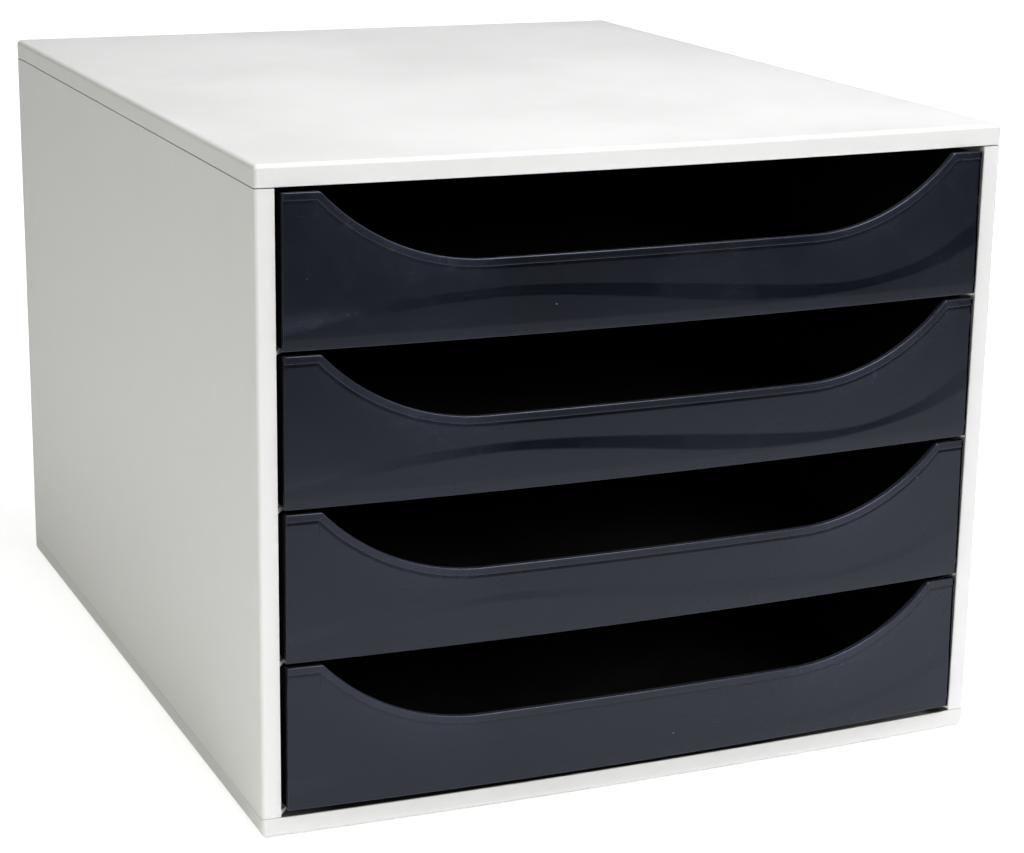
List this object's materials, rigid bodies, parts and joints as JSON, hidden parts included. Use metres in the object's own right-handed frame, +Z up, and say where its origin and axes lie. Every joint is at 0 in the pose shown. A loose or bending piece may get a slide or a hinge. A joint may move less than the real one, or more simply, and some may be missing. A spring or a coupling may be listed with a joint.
{
  "type": "letter tray stack with drawers",
  "caption": "Desktop drawer box for letter-size sheets: a light casing with dark open-fronted drawers, each with a curved finger scoop, sliding on side runners.",
  "frame": {"origin": "on the resting plane under the feet, in the middle of the overall width and depth", "axes": "+Z up; -Y is the front, the way the drawers open; +X to the right as seen from the front"},
  "size_m": [0.284, 0.347, 0.235],
  "materials": {
    "casing": "satin",
    "front": "gloss",
    "tray": "matte",
    "foot_rubber": "matte"
  },
  "bodies": {
    "case": {"top_cover": "casing", "base_tray": "casing", "left_side_panel": "casing", "right_side_panel": "casing", "rear_panel": "casing", "foot_front_left": "foot_rubber", "foot_front_right": "foot_rubber", "foot_rear_left": "foot_rubber", "foot_rear_right": "foot_rubber"},
    "drawer_1": {"drawer_tray_1": "tray", "drawer_front_1": "front"},
    "drawer_2": {"drawer_tray_2": "tray", "drawer_front_2": "front"},
    "drawer_3": {"drawer_tray_3": "tray", "drawer_front_3": "front"},
    "drawer_4": {"drawer_tray_4": "tray", "drawer_front_4": "front"}
  },
  "joints": [
    {"name": "drawer_1_slide", "type": "slide", "parent": "case", "child": "drawer_1", "axis": [0, -1, 0], "range_m": [0, 0.24]},
    {"name": "drawer_2_slide", "type": "slide", "parent": "case", "child": "drawer_2", "axis": [0, -1, 0], "range_m": [0, 0.24]},
    {"name": "drawer_3_slide", "type": "slide", "parent": "case", "child": "drawer_3", "axis": [0, -1, 0], "range_m": [0, 0.24]},
    {"name": "drawer_4_slide", "type": "slide", "parent": "case", "child": "drawer_4", "axis": [0, -1, 0], "range_m": [0, 0.24]}
  ]
}
